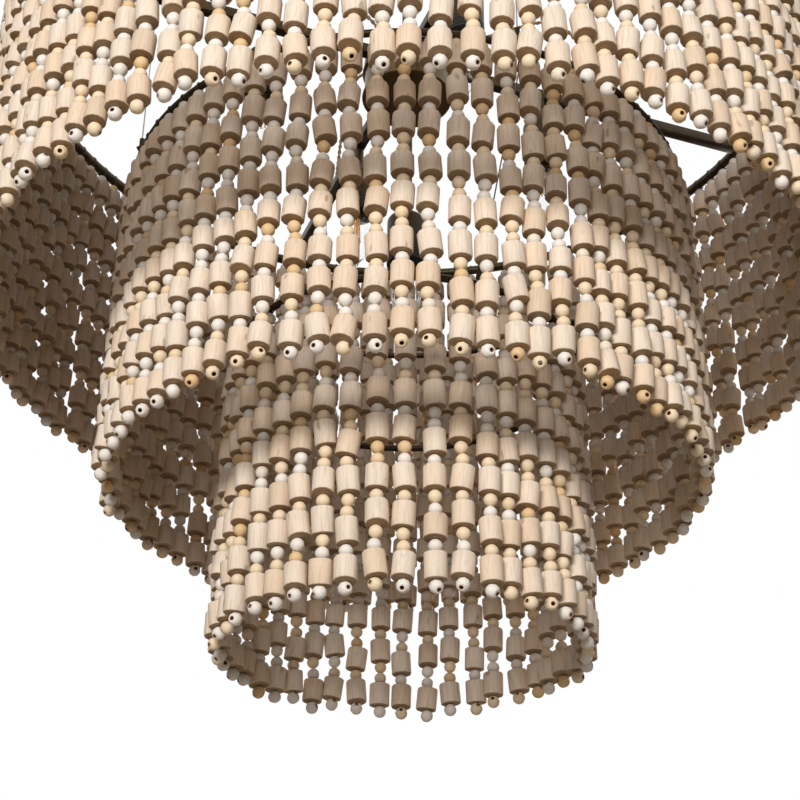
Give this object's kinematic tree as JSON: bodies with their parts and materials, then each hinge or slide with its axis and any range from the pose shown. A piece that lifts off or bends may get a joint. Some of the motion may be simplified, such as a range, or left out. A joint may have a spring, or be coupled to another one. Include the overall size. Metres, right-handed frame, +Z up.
{
  "type": "beaded chandelier",
  "caption": "Round tiered chandelier: wooden bead strands hang from bronze hoops around a hub with clear candle lamps, on a swivel stem with a ceiling canopy.",
  "frame": {"origin": "middle of the ceiling bracket's top face, which lies against the ceiling", "axes": "+Z up into the ceiling, +Y away from the picture's camera, +X to its right"},
  "size_m": [0.9558, 0.9558, 1.1506],
  "materials": {
    "wood": "bare turned wood, matt",
    "bronze": "dark bronze, satin",
    "brass": "antiqued, satin",
    "steel": "plain",
    "black_plastic": "matt",
    "glass": "clear, thin",
    "cord": "twisted, matt"
  },
  "bodies": {
    "ceiling": {"ceiling_bracket": "steel", "terminal_block": "black_plastic", "canopy_cover": "bronze", "canopy_screw_1": "bronze", "canopy_screw_2": "bronze"},
    "gimbal": {"swivel_ring": "steel"},
    "fixture": {"swivel_block": "steel", "stem_rod": "bronze", "stem_collar": "bronze", "hub_lid": "bronze", "hub_shell": "brass", "hub_nut": "bronze", "outer_hoop": "bronze", "middle_hoop": "bronze", "bottom_hoop": "bronze", "lamp_leads": "cord", "spoke_1": "bronze", "upper_cable_1": "steel", "lower_cable_1": "steel", "outer_beads_1": "wood", "middle_beads_1": "wood", "bottom_beads_1": "wood", "spoke_2": "bronze", "upper_cable_2": "steel", "lower_cable_2": "steel", "outer_beads_2": "wood", "middle_beads_2": "wood", "bottom_beads_2": "wood", "spoke_3": "bronze", "upper_cable_3": "steel", "lower_cable_3": "steel", "outer_beads_3": "wood", "middle_beads_3": "wood", "bottom_beads_3": "wood", "spoke_4": "bronze", "upper_cable_4": "steel", "lower_cable_4": "steel", "outer_beads_4": "wood", "middle_beads_4": "wood", "bottom_beads_4": "wood", "lamp_cup_1": "bronze", "lamp_socket_1": "black_plastic", "lamp_cup_2": "bronze", "lamp_socket_2": "black_plastic", "lamp_cup_3": "bronze", "lamp_socket_3": "black_plastic", "lamp_cup_4": "bronze", "lamp_socket_4": "black_plastic", "lamp_cup_5": "bronze", "lamp_socket_5": "black_plastic"},
    "bulb_1": {"bulb_1": "glass"},
    "bulb_2": {"bulb_2": "glass"},
    "bulb_3": {"bulb_3": "glass"},
    "bulb_4": {"bulb_4": "glass"},
    "bulb_5": {"bulb_5": "glass"}
  },
  "joints": [
    {"name": "swing_x", "type": "hinge", "parent": "ceiling", "child": "gimbal", "pos_m": [0, 0, -0.034], "axis": [1, 0, 0], "range_deg": [-12, 12]},
    {"name": "swing_y", "type": "hinge", "parent": "gimbal", "child": "fixture", "pos_m": [0, 0, -0.034], "axis": [0, 1, 0], "range_deg": [-12, 12]},
    {"name": "bulb_1_unscrew", "type": "hinge", "parent": "fixture", "child": "bulb_1", "pos_m": [0.16573, 0.06495, -0.5], "axis": [0, 0, -1], "range_deg": [0, 360]},
    {"name": "bulb_2_unscrew", "type": "hinge", "parent": "fixture", "child": "bulb_2", "pos_m": [-0.06495, 0.16573, -0.5], "axis": [0, 0, -1], "range_deg": [0, 360]},
    {"name": "bulb_3_unscrew", "type": "hinge", "parent": "fixture", "child": "bulb_3", "pos_m": [-0.16573, -0.06495, -0.5], "axis": [0, 0, -1], "range_deg": [0, 360]},
    {"name": "bulb_4_unscrew", "type": "hinge", "parent": "fixture", "child": "bulb_4", "pos_m": [0.06495, -0.16573, -0.5], "axis": [0, 0, -1], "range_deg": [0, 360]},
    {"name": "bulb_5_unscrew", "type": "hinge", "parent": "fixture", "child": "bulb_5", "pos_m": [0, 0, -0.69], "axis": [0, 0, -1], "range_deg": [0, 360]}
  ]
}
